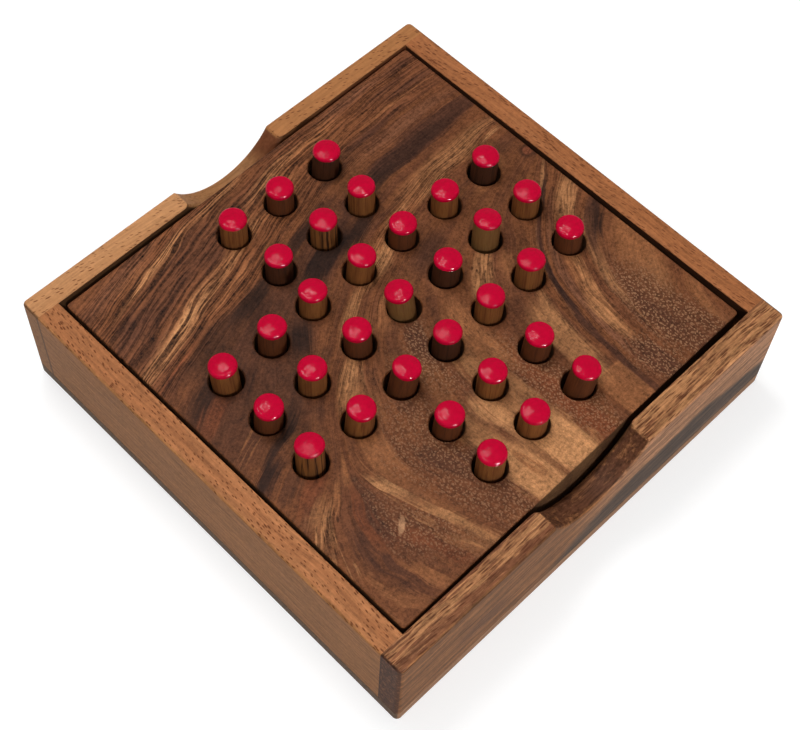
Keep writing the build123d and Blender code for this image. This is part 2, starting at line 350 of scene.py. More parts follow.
@dataclass(frozen=True)
class BoardWood:
    """The loose board's wood: growth lines that sweep round one corner, in dark and gold."""

    centre: Pair = (85.0, -95.0)
    turn_from: float = 88.0
    turn_to: float = 176.0
    reach: float = 260.0
    along_radius: float = 120.0
    lines: tuple[GrainLine, ...] = (
        GrainLine(222.0, ((-66, 66), (-50, 70), (-30, 74), (0, 77), (30, 78), (66, 79))),
        GrainLine(196.0, (
            (-66, 49), (-50, 54.5), (-35, 59.5), (-20, 63.5), (0, 66.5), (25, 67), (66, 67))),
        GrainLine(181.0, (
            (-66, 32), (-50, 37), (-35, 42), (-20, 47), (-5, 52), (10, 57), (30, 59.5),
            (66, 60.5))),
        GrainLine(166.0, (
            (-66, 22), (-50, 27.5), (-35, 32), (-22, 35.5), (-8, 40), (6, 45), (22, 49), (40, 50),
            (66, 50))),
        GrainLine(153.0, (
            (-66, -14), (-55, -9), (-45, -5), (-38, -1), (-30, 8), (-25, 14), (-18, 20), (-8, 26),
            (0, 29), (12, 33), (25, 36.5), (40, 36.5), (66, 38))),
        GrainLine(145.0, (
            (-66, -30), (-58, -25), (-50, -20), (-43, -12), (-37, -5), (-28, 3), (-18, 9), (-8, 15),
            (2, 21), (15, 26), (30, 29), (66, 31))),
        GrainLine(141.0, (
            (-60, -66), (-62, -50), (-60, -36), (-52, -28), (-45, -20.5), (-38, -11), (-30, -2),
            (-20, 5), (-8, 13), (3, 19), (15, 23.5), (30, 27), (66, 29.5))),
        GrainLine(135.0, (
            (-33, -66), (-38, -50), (-41, -38), (-43.5, -30), (-42.5, -22), (-37, -14), (-29, -6),
            (-19, 1), (-9, 8), (2, 14), (14, 19), (28, 23), (45, 25), (66, 27))),
        GrainLine(126.0, (
            (-18, -66), (-19, -45), (-19, -25), (-14, -10), (-5, 3), (6, 10), (21, 16), (40, 19.5),
            (66, 21.5))),
        GrainLine(110.0, (
            (12, -66), (11, -45), (9, -25), (11, -11), (19, -1), (31, 6), (46, 12), (66, 17))),
        GrainLine(92.0, (
            (25, -66), (26, -45), (27, -30), (33, -15), (40, -5), (47, 2), (57, 8), (66, 12))),
        GrainLine(85.0, (
            (31, -66), (32, -50), (33, -40), (35, -28), (39, -17), (44, -9), (52, -1), (60, 5),
            (66, 9))),
        GrainLine(66.0, ((43, -66), (45, -45), (48, -30), (52, -21), (57, -15), (66, -9))),
        GrainLine(34.0, ((66, -66), (67, -60), (69, -56))),
    )
    streaks: tuple[tuple[Tone, Patch], ...] = toned(
        # Dark grounds: the upper left, the broad band from the left edge, the front corners
        (DARK, -42, 50, 40, 8, 0.2, 0.5), (TAN, -28, 61, 18, 3, 0.4),
        (DARK, -34, 18, 50, 15, 0.75, 0.5), (UMBER, -40, -46, 24, 16, 0.6, 0.4),
        (DARK, -22, -50, 24, 6, 0.4, 0.4),
        # The upper left: brown, crossed by two gold streaks made of many thin ones
        (ROSE, -50, 62, 22, 4, 0.5), (DARK, -58, 46, 12, 4, 0.7), (DARK, -38, 50, 26, 4.5, 0.4),
        (GOLD, -38, 60, 20, 2), (GOLD, -52, 55, 12, 1.2, 0.8), (GOLD, -12, 65, 14, 1.6, 0.7),
        (DARK, -36, 57.3, 20, 1.5, 0.8), (DARK, -55, 51.2, 10, 1.5, 0.8), (GOLD, -46, 38, 26, 3.4),
        (PALE, -46, 38.8, 8, 1.6, 0.6), (GOLD, -58, 33.5, 14, 2, 0.6),
        (GOLD, -18, 47.5, 18, 2.8, 0.7), (TAN, 2, 52.5, 16, 2.4, 0.6),
        (TAN, -30, 38.5, 14, 1.8, 0.8), (RED, -58, 29, 12, 1.6, 0.7),
        # The upper right: greyer, with broad dark bands
        (ROSE, 40, 65, 20, 2.5, 0.6), (DARK, 60, 64, 10, 2, 0.6), (DARK, 12, 66, 14, 1.6, 0.6),
        (DARK, 35, 51.5, 16, 2.2, 0.9), (DARK, 58, 57, 14, 1.2, 0.8), (TAN, 52, 55, 20, 0.9, 0.7),
        (GOLD, 7, 60, 20, 3.4, 0.7), (TAN, 24, 61, 14, 2, 0.7), (TAN, 28, 63.5, 8, 1.6, 0.6),
        (DARK, 18, 48, 12, 2.4, 0.6), (ROSE, 44, 46.5, 28, 3, 0.7), (DARK, 4, 40, 14, 4.6, 0.9),
        (DARK, 16, 38, 10, 4, 0.9), (DARK, 46, 39.5, 36, 5.6, 1, 0.6),
        (INK, 40, 38.5, 26, 3.4, 0.6, 0.4), (INK, 20, 36, 17, 3.4, 0.7, 0.4),
        (INK, -5, 37.5, 11, 3.4, 0.85), (INK, 17, 47, 9, 2.4, 0.5), (GOLD, 48, 30, 30, 3.2, 0.8),
        (GOLD, 36, 25, 12, 2.2, 0.7), (INK, 10, 28.5, 12, 3.4, 0.9, 0.5),
        (GOLD, 22, 25.5, 9, 1.6, 0.7), (PALE, 62, 26.5, 6, 1, 0.6), (DARK, 62, 20.5, 8, 2.4, 0.6),
        (DARK, 44, 19, 7, 1.4, 0.5), (DARK, 18, 10, 13, 5, 0.9),
        # The dark bands from the left edge
        (DARK, -32, 25, 16, 5, 0.6), (INK, -46, 29.3, 16, 3, 0.6, 0.4),
        (INK, -28, 32.5, 13, 4, 0.9, 0.4), (INK, -30, 27, 9, 2.6, 0.4),
        (INK, -57, 18, 16, 5.6, 0.8, 0.3), (DARK, -49, 14, 12, 4.4, 0.9),
        (RED, -61, 11, 10, 5, 0.8), (INK, -52, -7, 20, 3, 0.85, 0.3), (DARK, -49, -11, 10, 3, 0.7),
        (DARK, -50, -17, 9, 4, 0.7), (INK, -61.5, -12.5, 9, 3, 0.95), (INK, -34, 2, 7, 2, 0.6),
        (INK, -26, 12.5, 10, 3.2, 0.9), (INK, -14, 22, 8, 3, 0.8), (INK, -3, 28.5, 15, 5, 1, 0.5),
        (DARK, 11, 34, 12, 2.6, 0.9),
        # The gold streaks across the middle
        (GOLD, -27, -4.5, 15, 4, 1, 0.3), (TAN, -5, 4, 9, 2.6, 0.9), (GOLD, -12, 9, 14, 3, 0.9),
        (GOLD, 5, 16.5, 13, 4.2, 1, 0.4), (PALE, 6, 17, 8, 2, 0.5), (TAN, 11, 21, 10, 2, 0.8),
        (DARK, -40, -4, 10, 3, 0.6), (TAN, -60, 1, 8, 1.2, 0.7), (TAN, -60, -2.6, 8, 0.8, 0.6),
        # The crotch at the left edge and the red-brown wedges beside it
        (RED, -55, -21, 12, 4.5, 0.8), (GOLD, -62, -32.5, 8, 2.8, 0.9),
        (TAN, -54, -28.5, 9, 2, 0.9), (TAN, -46, -23.5, 8, 1.5, 0.8),
        (GOLD, -65.5, -43, 7, 1.8, 0.7), (RED, -52, -38, 14, 6, 0.8),
        (DARK, -50, -40, 11, 4.4, 0.8), (DARK, -46.5, -33, 9, 2.6, 0.7),
        (DARK, -58.5, -44, 11, 2.6, 0.8), (DARK, -58, -54, 14, 2.2, 0.7),
        (DARK, -49, -45, 12, 1.8, 0.6), (TAN, -51, -60, 9, 2.2, 0.7),
        (DARK, -43.5, -52, 14, 1.8, 0.5), (TAN, -40, -60, 10, 2.2, 0.5),
        (TAN, -62.5, -57, 12, 2.2, 0.7), (TAN, -53, -59, 10, 2, 0.6), (RED, -46, -55, 14, 3.6, 0.7),
        # The bright streak that widens down to the front edge
        (TAN, -43, -26, 8, 0.8, 0.9), (TAN, -36.5, -46, 16, 4.4, 0.8, 0),
        (PALE, -41, -35.5, 7, 1.8, 0.8), (GOLD, -38.8, -46, 9, 1.8, 0.9),
        (GOLD, -35.8, -54, 9, 2.4, 0.8), (PALE, -35.8, -53, 6, 1.2, 0.5),
        (GOLD, -33, -63, 8, 3.2, 0.8), (TAN, -36, -26, 14, 6, 0.8, 0.3),
        (UMBER, -26, -52, 20, 5, 0.8), (DARK, -20, -20, 10, 4, 0.6), (DARK, -25, -41, 10, 3.6, 0.6),
        (DARK, -19.5, -46, 18, 1.8, 0.7),
        # The lower middle: pale areas between brown columns
        (GOLD, -12.5, -40, 9, 4.6, 0.9, 0.4), (DARK, -17, -50, 7, 3.2, 0.8, 0.4),
        (PALE, -11, -59, 15, 7.5, 0.85, 0.5), (TAN, -9.5, -56, 9, 1.2, 0.8),
        (PALE, 2.5, -59, 17, 8, 1, 0.6), (PALE, -5, -39, 9, 5, 0.9, 0.4),
        (GOLD, 1, -40, 14, 5.5, 0.7, 0.4), (GOLD, 1, -25, 12, 5, 0.9, 0.4),
        (TAN, -12, -30, 8, 2.5, 0.6), (DARK, -6, -11, 12, 4, 0.7), (BROWN, -10, -24, 12, 4.4, 0.9),
        (RED, 13, -56, 22, 3, 0.9, 0.5), (UMBER, 14.5, -37, 9, 2.6, 0.8),
        (PALE, 5, -38, 8, 3.4, 0.5), (GOLD, 25, -40, 16, 6, 0.9, 0.5), (GOLD, 28, -30, 14, 3),
        (TAN, 8, -18, 14, 6, 1, 0.4), (UMBER, 20, -21, 10, 4, 0.6), (GOLD, 24, -6, 14, 4.6, 1, 0.3),
        (TAN, 31, -9, 8, 3, 0.7), (TAN, 14, 1, 8, 3, 0.5),
        # The arcs on the right
        (GOLD, 37, -21, 26, 0.9, 0.9), (DARK, 36, -26, 46, 1.4, 1, 0.5),
        (INK, 37.5, -22, 20, 0.8, 0.8), (DARK, 31.5, -57, 12, 1.8, 0.9),
        (INK, 57, 1.5, 14, 1.4, 0.9), (GOLD, 62, 6, 8, 1, 0.8), (ROSE, 38.6, -30, 34, 1.8, 0.8),
        (TAN, 42.3, -31, 24, 2.8, 0.9), (GOLD, 40, -40, 13, 3, 0.9), (GOLD, 46, -23, 18, 1.6, 0.7),
        (GOLD, 60, -5, 15, 4.2), (DARK, 47, -37, 24, 1.5, 0.8), (GOLD, 51, -26, 20, 3, 0.7),
        (GOLD, 49.3, -31, 34, 0.5, 0.8), (DARK, 60, -15.5, 17, 2.6, 0.9, 0.4),
        (INK, 62, -15.5, 10, 2.6, 0.85), (RED, 54, -36, 14, 3.4, 0.6, 0),
        (TAN, 62, -30, 26, 10, 0.9, 0.2), (TAN, 63, -54, 12, 2.6, 0.8),
        (DARK, 53, -55, 18, 10, 0.6, 0.5), (DARK, 39, -60, 10, 5, 0.8, 0.5),
        # Small patches of light and dark over all of these
        (DARK, 50, 60, 14, 2, 0.5), (TAN, -49, 60, 9, 2.4, 0.35), (DARK, 34, 49, 12, 2.2, 0.5),
        (DARK, -60, 38, 8, 2.6, 0.5), (INK, 17, 38, 8, 3, 0.5), (DARK, 17, 27, 7, 2.4, 0.5),
        (INK, -49, 15, 8, 4, 0.7), (GOLD, 6, 15.5, 7, 2.6, 0.6), (TAN, 50, 16, 10, 3, 0.8),
        (DARK, -27, 5, 6, 2.4, 0.4), (DARK, 17, 4, 7, 3, 0.4), (DARK, -38, -6, 7, 2.6, 0.6),
        (DARK, -5, -6, 8, 3, 0.4), (INK, -49, -17, 8, 3, 0.45), (TAN, -27, -17, 8, 3, 0.4),
        (TAN, -10, -22, 8, 3, 0.45), (INK, -49, -39, 7, 3, 0.3), (DARK, -27, -39, 7, 3, 0.4),
        (GOLD, 39, -39, 8, 2.8, 0.8), (DARK, -16, -50, 8, 3, 0.6), (PALE, -5, -50, 8, 3, 0.5),
        (TAN, -60, -61, 6, 3, 0.4), (TAN, -31, -10, 13, 4.6, 0.7), (PALE, -27, -6, 9, 3.4, 0.4),
        (GOLD, 61, -6, 9, 3.4, 0.8), (INK, -49, -6, 8, 3.4, 0.8), (DARK, -60, -18, 7, 3, 0.6),
        (DARK, -60, 49, 7, 3, 0.5), (DARK, -60, 27, 7, 3, 0.4), (DARK, -38, -42, 7, 3, 0.35),
        (DARK, -5, -8, 8, 4, 0.3), (TAN, 12, 60, 12, 3, 0.5), (DARK, -26, 49, 7, 2.6, 0.6),
        (DARK, -60, 49, 6, 2.6, 0.4), (DARK, -16, -49, 7, 3.4, 0.6), (DARK, 40, -61, 7, 3, 0.5),
        (DARK, 28, -50, 5, 3, 0.4), (INK, 17, 38, 7, 3.4, 0.9), (DARK, -16, 16, 7, 2.4, 0.4),
        (GOLD, -60, -28, 6, 3, 0.5), (DARK, 50, -50, 9, 5, 0.6), (GOLD, 50, 27, 10, 3, 0.4),
        (GOLD, 61, -40, 8, 5, 0.3),
    )
    flecked: tuple[Patch, ...] = patches(
        (53, -55, 18, 12, 1, 0.5), (39, -59, 11, 8, 0.9, 0.4), (14, -50, 24, 7, 0.8, 0.4),
        (-20, -28, 26, 7, 0.8, 0.3), (-6, -13, 20, 7, 0.8, 0.3), (-24, -46, 34, 11, 0.7, 0.5),
        (-45, -48, 24, 8, 0.7, 0.4),
    )
    crowded: tuple[Patch, ...] = patches(
        (-42, 52, 90, 32, 1, 0.75), (20, 60, 80, 14, 0.75, 0.6), (-8, 9, 44, 8, 0.45, 0.5),
        (40, 28, 44, 6, 0.7, 0.5), (26, -5, 18, 5, 0.6), (-60, -33, 10, 5, 0.8),
        (42, -26, 46, 12, 0.4, 0.6),
    )
    pored: tuple[Patch, ...] = patches(
        (-62, -34, 10, 5, 0.6, 0.5), (-25, -4, 16, 7, 0.4, 0.4), (4, 15, 18, 5, 0.8, 0.4),
        (25, -5, 12, 5, 1, 0.5), (28, -30, 14, 3.4, 0.6, 0.5), (44, 27, 30, 5, 0.7, 0.4),
        (8, -18, 12, 6, 0.6, 0.4),
    )
    feathered: tuple[Patch, ...] = patches(
        (-64, -45, 7, 2.4, 0.35, 0.4), (-41, -32, 6, 2, 0.5, 0.4), (-34, -55, 9, 2.6, 0.5, 0.4),
    )
    scar: Pair = (-46.5, -45.5)
    scar_turn: float = 40.0
    scar_half: Triple = (2.7, 0.95, 1000.0)
    knot: Pair = (65.5, 15.0)
    block_left: Pair = (20.5, 21.5)
    block_right: Pair = (30.4, 31.2)
    block_back: Pair = (-51.6, -50.8)
    side_to_top: Pair = (33.1, 33.7)
    thinnest: float = 0.3

    def turned(self, x: float, y: float) -> Pair:
        """A point's place round the centre: its turn from 0 to 1, and its distance."""
        dx, dy = x - self.centre[0], y - self.centre[1]
        degrees = math.degrees(math.atan2(dy, dx))
        return (degrees - self.turn_from) / (self.turn_to - self.turn_from), math.hypot(dx, dy)

    def grain_field(self, graph: Graph, x: Socket,
                    y: Socket) -> tuple[Socket, Socket, Socket, list]:
        """Lays down the growth level and the places across and along the grain.

        Args:
            graph: The material's nodes.
            x: The place along X, in millimetres.
            y: The place along Y, in millimetres.

        Returns:
            The level, about how many millimetres across the grain the place is, the place
            along the grain, and the curves of the lines.
        """
        dx = graph.minus(x, self.centre[0])
        dy = graph.minus(y, self.centre[1])
        distance = graph.length(graph.combine(dx, dy, 0.0))
        angle = graph.math("ARCTAN2", dy, dx)
        turn = graph.span(angle, math.radians(self.turn_from), math.radians(self.turn_to))
        radii, curves = [], []
        for line in self.lines:
            radius, curve = self.line_radius(graph, turn, line)
            radii.append(radius)
            curves.append(curve)
        beyond = graph.math("MAXIMUM", graph.minus(distance, radii[0]), 0.0)
        short = graph.math("MINIMUM", graph.minus(distance, radii[-1]), 0.0)
        across = graph.plus(beyond, short)
        level = graph.plus(across, self.lines[-1].level)
        for i, (outer, inner) in enumerate(zip(self.lines, self.lines[1:])):
            share = graph.span(distance, radii[i + 1], radii[i])
            level = graph.scaled(share, outer.level - inner.level, level)
            across = graph.scaled(share, self.spacing(curves[i], curves[i + 1]), across)
        return level, across, graph.times(angle, self.along_radius), curves

    def spacing(self, outer: object, inner: object) -> float:
        """The mean distance of two growth lines, in millimetres.

        Args:
            outer: The curve mapping of the outer line.
            inner: The curve mapping of the inner line.

        Returns:
            The mean distance.
        """
        gaps = [outer.evaluate(outer.curves[0], turn) - inner.evaluate(inner.curves[0], turn)
                for turn in (0.05 + 0.1 * i for i in range(10))]
        return self.reach * sum(gaps) / len(gaps)

    def line_radius(self, graph: Graph, turn: Socket, line: GrainLine) -> tuple[Socket, object]:
        """Draws one growth line as its distance from the centre at each turn.

        Args:
            graph: The material's nodes.
            turn: The turn round the centre, from 0 to 1.
            line: The growth line.

        Returns:
            The line's distance, and the curve mapping that holds it.
        """
        made = graph.tree.nodes.new("ShaderNodeFloatCurve")
        curve = made.mapping.curves[0]
        places = sorted((t, r / self.reach) for t, r in (self.turned(*p) for p in line.points))
        curve.points[0].location = places[0]
        curve.points[1].location = places[-1]
        for place in places[1:-1]:
            curve.points.new(*place)
        made.mapping.update()
        graph.feed(made.inputs["Value"], turn)
        return graph.times(made.outputs[0], self.reach), made.mapping

    def level_at(self, curves: list, x: float, y: float) -> float:
        """The growth level at a point, worked out as the nodes do.

        Args:
            curves: The curve mappings of the growth lines.
            x: The place along X, in millimetres.
            y: The place along Y, in millimetres.

        Returns:
            The level.
        """
        turn, distance = self.turned(x, y)
        radii = [c.evaluate(c.curves[0], min(max(turn, 0.0), 1.0)) * self.reach for c in curves]
        level = self.lines[-1].level + max(distance - radii[0], 0.0)
        level += min(distance - radii[-1], 0.0)
        for outer, inner, far, near in zip(self.lines, self.lines[1:], radii, radii[1:]):
            share = min(max((distance - near) / (far - near), 0.0), 1.0)
            level += share * (outer.level - inner.level)
        return level

    def weight(self, graph: Graph, place: Socket, curves: list, patch: Patch) -> Socket:
        """How strongly one patch shows: its strength over its core, fading to 0.

        Args:
            graph: The material's nodes.
            place: The level and the place along the grain, as a vector.
            curves: The curve mappings of the growth lines.
            patch: The patch.

        Returns:
            The patch's weight.
        """
        turn, distance = self.turned(patch.x, patch.y)
        angle = math.radians(self.turn_from + turn * (self.turn_to - self.turn_from))
        level = self.level_at(curves, patch.x, patch.y)
        step = 0.5
        rises = [self.level_at(curves, patch.x + dx, patch.y + dy)
                 - self.level_at(curves, patch.x - dx, patch.y - dy)
                 for dx, dy in ((step, 0.0), (0.0, step))]
        across = max(patch.half_width * (math.hypot(*rises) / (2 * step)), self.thinnest)
        along = patch.half_length * self.along_radius / distance
        offset = graph.vector("SUBTRACT", place, (level, angle * self.along_radius, 0.0))
        scaled = graph.vector("MULTIPLY", offset, (1.0 / across, 1.0 / along, 0.0))
        return graph.fade(graph.length(scaled), patch.core, 1.0, patch.strength)

    def strongest(self, graph: Graph, place: Socket, curves: list,
                  several: tuple[Patch, ...]) -> Socket:
        """The strongest of several patches at each place."""
        total = self.weight(graph, place, curves, several[0])
        for patch in several[1:]:
            total = graph.math("MAXIMUM", total, self.weight(graph, place, curves, patch))
        return total

    def threads(self, graph: Graph, grain: Socket, crowd: Socket) -> tuple[Socket, Socket]:
        """Fine growth lines, strong where the streaks are crowded.

        Args:
            graph: The material's nodes.
            grain: The places across and along the grain, as a vector.
            crowd: How crowded the lines are, from 0 to 1.

        Returns:
            How much lighter or darker the lines make the wood, and the finest of them.
        """
        fine = graph.noise(grain, (0.8, 0.04, 0.4), 3.0, 0.7, 5.0)
        fine = graph.ramp(fine, 0.4, 0.6, -1.0, 1.0)
        thread = graph.noise(grain, (1.9, 0.11, 0.8), 1.0, 0.5, 8.0)
        thread = graph.ramp(thread, 0.4, 0.6, -1.0, 1.0)
        light = graph.times(fine, graph.scaled(crowd, 0.16, 0.07))
        share = graph.scaled(crowd, 0.34, 0.06)
        return graph.scaled(thread, share, light), thread

    def marks(self, graph: Graph, place: Socket, colour: Socket) -> Socket:
        """Adds the pale scar, the small knot and the straight-edged block at the front.

        Args:
            graph: The material's nodes.
            place: The place in millimetres.
            colour: The wood so far.

        Returns:
            The wood with its marks.
        """
        x, y, _ = graph.split(place)
        block = graph.times(graph.ramp(x, *self.block_left), graph.fade(x, *self.block_right))
        block = graph.times(block, graph.fade(y, *self.block_back, 0.75))
        colour = graph.mix(block, colour, TAN)
        turned = graph.node("ShaderNodeMapping", {
            0: place, "Location": (*self.scar, 0.0), "Scale": self.scar_half,
            "Rotation": (0.0, 0.0, math.radians(self.scar_turn))}, vector_type="TEXTURE")
        scar = graph.fade(graph.length(turned), 0.7, 1.15, 0.95)
        colour = graph.mix(scar, colour, Tone.BOARD_FLECK)
        away = graph.vector("SUBTRACT", place, (*self.knot, 0.0))
        reach = graph.length(graph.vector("MULTIPLY", away, (1.0, 1.0, 0.0)))
        colour = graph.mix(graph.fade(reach, 1.5, 3.6, 0.7), colour, INK)
        return graph.mix(graph.fade(reach, 0.8, 2.0, 0.8), colour, Tone.BOARD_KNOT)

    def material(self) -> Material:
        """Builds the board's material."""
        graph = Graph("board_wood")
        place = graph.millimetres()
        drift = graph.sway(place, 0.045)
        drift = graph.vector("SUBTRACT", drift, (0.5, 0.5, 0.5))
        drift = graph.vector("MULTIPLY", drift, (3.0, 3.0, 0.0))
        x, y, z = graph.split(graph.vector("ADD", place, drift))
        level, across, along, curves = self.grain_field(graph, x, y)
        wobble = graph.noise(graph.combine(across, along, z), (0.2, 0.07, 0.1), 2.0, offset=41.0)
        across = graph.plus(across, graph.scaled(wobble, 3.0, -1.5))
        grain = graph.combine(across, along, z)
        wander = graph.noise(grain, (0.2, 0.03, 0.1), 3.0)
        feather = graph.noise(grain, (0.9, 0.04, 0.3), 3.0, 0.65, offset=3.0)
        shift = graph.plus(graph.scaled(wander, 4.0, -2.0), graph.scaled(feather, 5.0, -2.5))
        soft = graph.combine(graph.plus(level, shift), along, 0.0)
        bands = graph.noise(grain, (0.2, 0.015, 0.05), 3.0, 0.55, offset=11.0)
        colour = graph.mix(graph.ramp(bands, 0.38, 0.62), UMBER, BROWN)
        crowd = self.strongest(graph, soft, curves, self.crowded)
        light, thread = self.threads(graph, grain, crowd)
        # Where the lines are crowded, a pale streak is made of many thin ones
        gaps = graph.fade(thread, -0.7, 0.4, 0.75)
        hairs = graph.minus(1.0, graph.times(crowd, gaps))
        for tone, patch in self.streaks:
            weight = self.weight(graph, soft, curves, patch)
            if tone in (TAN, GOLD, PALE):
                weight = graph.times(weight, hairs)
            colour = graph.mix(weight, colour, tone)
        colour = self.marks(graph, place, colour)
        mottle = graph.noise(place, 0.5, 3.0, 0.7, offset=2.0)
        light = graph.swung(light, mottle, 0.5)
        speckle = graph.noise(place, 1.3, 2.0, 0.8, offset=31.0)
        light = graph.swung(light, speckle, 0.9)
        colour = graph.shaded(colour, graph.plus(light, 1.0))
        # Dark pores along the grain, and short lines across it in the crotch
        pores = graph.dashes(graph.combine(along, across, z), 1.6, 0.36, 0.3, 21.0)
        share = graph.scaled(self.strongest(graph, soft, curves, self.pored), 0.6, 0.2)
        share = graph.scaled(crowd, 0.3, share)
        pore = graph.times(pores, share)
        lines = graph.ramp(graph.noise(grain, (0.12, 1.1, 0.3), 1.0, offset=51.0), 0.52, 0.6)
        lines = graph.times(lines, self.strongest(graph, soft, curves, self.feathered))
        pore = graph.math("MAXIMUM", pore, graph.times(lines, 0.65))
        colour = graph.mix(pore, colour, Tone.BOARD_PORE)
        # Pale dots where the pores have filled
        jitter = graph.vector("MULTIPLY_ADD", graph.sway(place, 0.7), (1.6, 1.6, 0.0), place)
        jitter = graph.vector("MULTIPLY", jitter, (1.3, 0.95, 1.0))
        cells = graph.node("ShaderNodeTexVoronoi", {"Vector": jitter, "Scale": 1.0,
                                                    "Randomness": 0.85}, voronoi_dimensions="2D")
        dot = graph.fade(cells, 0.16, 0.38, 0.8)
        thinned = graph.noise(grain, (0.16, 0.05, 0.1), 3.0, 0.6, 61.0)
        dot = graph.times(dot, graph.ramp(thinned, 0.36, 0.54, 0.5, 0.9))
        fleck = graph.times(dot, self.strongest(graph, soft, curves, self.flecked))
        colour = graph.mix(fleck, colour, Tone.BOARD_FLECK)
        low = graph.fade(graph.split(place)[2], *self.side_to_top, 0.85)
        side = graph.shaded(Tone.BOARD_SIDE, graph.plus(light, 1.0))
        colour = graph.mix(low, colour, side)
        height = graph.minus(graph.times(thread, 0.3), pore)
        roughness = graph.scaled(mottle, 0.2, 0.42)
        return graph.finish(colour, roughness, height, 0.05 * MM)


@dataclass(frozen=True)
class FaceTint:
    """The tone of one face of a piece. On end faces it is the tone the cut shows; on the rails'
    inner faces by the loose board it is painted shade, and on the left rail's outer face painted
    light.
    """

    axis: int
    at: float
    tone: Tone
    strength: float = 1.0
    depth: float = 0.8
    core: float = 0.3


@dataclass(frozen=True)
class RailWood:
    """Straight-grained oiled wood with short pores, as the rails, base and ledges have."""

    name: str
    along: Along
    ground: Tone
    shade: Tone
    pore: Tone = Tone.RAIL_PORE
    seed: float = 0.0
    band: float = 0.6
    streak: float = 0.22
    fibre: float = 0.16
    pore_length: float = 1.6
    pore_width: float = 0.4
    pore_size: float = 0.3
    pore_strength: float = 0.8
    pore_slant: float = 0.0
    roughness: float = 0.5
    smooth_to_open: Pair = (33.8, 34.6)
    smoothing: float = 0.75
    tints: tuple[FaceTint, ...] = ()
    # The inner tint and the four fields below it paint shade on the inner face along the gap round
    # the loose board: below the top, within the opening, and fading lower down.
    inner: FaceTint | None = None
    gap_shade_top: Pair = (34.6, 34.85)
    gap_shade_ends: Pair = (67.4, 68.0)
    gap_shade_low: Pair = (24.0, 30.5)
    gap_shade_low_share: float = 0.3

    def place(self, graph: Graph) -> tuple[Socket, Socket]:
        """The place in millimetres, and the same turned so that the grain runs first."""
        place = graph.millimetres()
        x, y, z = graph.split(place)
        along, across = (x, y) if self.along is Along.X else (y, x)
        bend = graph.noise(place, 0.02, 1.0, offset=self.seed)
        across = graph.plus(across, graph.scaled(bend, 8.0, -4.0))
        return place, graph.combine(along, across, z)

    def faces(self, graph: Graph, place: Socket, colour: Socket) -> Socket:
        """Tints single faces of the piece, and paints shade on its inner face along the gap round
        the loose board.

        Args:
            graph: The material's nodes.
            place: The place in millimetres.
            colour: The wood so far.

        Returns:
            The wood with its faces tinted.
        """
        sides = graph.split(place)
        for tint in self.tints:
            colour = graph.mix(self.near(graph, sides[tint.axis], tint), colour, tint.tone)
        # Painted shade on the inner face along the gap round the loose board, darkest near the rim
        if self.inner:
            below = graph.fade(sides[2], *self.gap_shade_top)
            middle = graph.math("ABSOLUTE", sides[1 - self.inner.axis])
            gap_shade = graph.times(below, graph.fade(middle, *self.gap_shade_ends))
            gap_shade = graph.times(gap_shade, self.near(graph, sides[self.inner.axis], self.inner))
            upper = graph.ramp(sides[2], *self.gap_shade_low, self.gap_shade_low_share, 1.0)
            gap_shade = graph.times(gap_shade, upper)
            colour = graph.mix(gap_shade, colour, self.inner.tone)
        return colour

    def near(self, graph: Graph, side: Socket, tint: FaceTint) -> Socket:
        """The tint's strength on its face, fading to 0 over its depth."""
        away = graph.math("ABSOLUTE", graph.minus(side, tint.at))
        return graph.fade(away, tint.depth * tint.core, tint.depth, tint.strength)

    def rough(self, graph: Graph, place: Socket) -> Socket:
        """How openly the pores show: 1 on the top, less on the smooth outer faces."""
        _, _, z = graph.split(place)
        return graph.ramp(z, *self.smooth_to_open, 1.0 - self.smoothing, 1.0)

    def material(self) -> Material:
        """Builds the wood's material."""
        graph = Graph(self.name)
        place, grain = self.place(graph)
        bands = graph.noise(grain, (0.012, 0.3, 0.3), 3.0, 0.55, self.seed + 1.0)
        streaks = graph.noise(grain, (0.05, 1.1, 1.1), 3.0, 0.65, self.seed + 2.0)
        fibres = graph.noise(grain, (0.16, 1.5, 1.5), 3.0, 0.7, self.seed + 3.0)
        mottle = graph.noise(place, 0.8, 4.0, 0.75, self.seed + 5.0)
        colour = graph.mix(graph.ramp(bands, 0.36, 0.62, 0.0, self.band), self.ground, self.shade)
        colour = self.faces(graph, place, colour)
        light = graph.ramp(streaks, 0.32, 0.68, 1.0 - self.streak, 1.0 + self.streak)
        light = graph.plus(light, graph.ramp(fibres, 0.3, 0.7, -self.fibre, self.fibre))
        light = graph.plus(light, graph.ramp(mottle, 0.25, 0.75, -self.fibre, self.fibre))
        colour = graph.shaded(colour, light)
        slant = (0.0, 0.0, math.radians(self.pore_slant))
        turned = graph.node("ShaderNodeMapping", {0: grain, "Rotation": slant})
        crowd = graph.noise(grain, (0.04, 0.12, 0.12), 2.0, 0.6, self.seed + 4.0)
        size = graph.ramp(crowd, 0.35, 0.65, self.pore_size * 0.8, self.pore_size * 1.25)
        pore = graph.dashes(turned, self.pore_length, self.pore_width, size, self.seed)
        pore = graph.times(pore, self.pore_strength)
        pore = graph.times(pore, self.rough(graph, place))
        colour = graph.mix(pore, colour, self.pore)
        height = graph.minus(graph.times(fibres, 0.4), pore)
        return graph.finish(colour, self.roughness, height, 0.06 * MM)


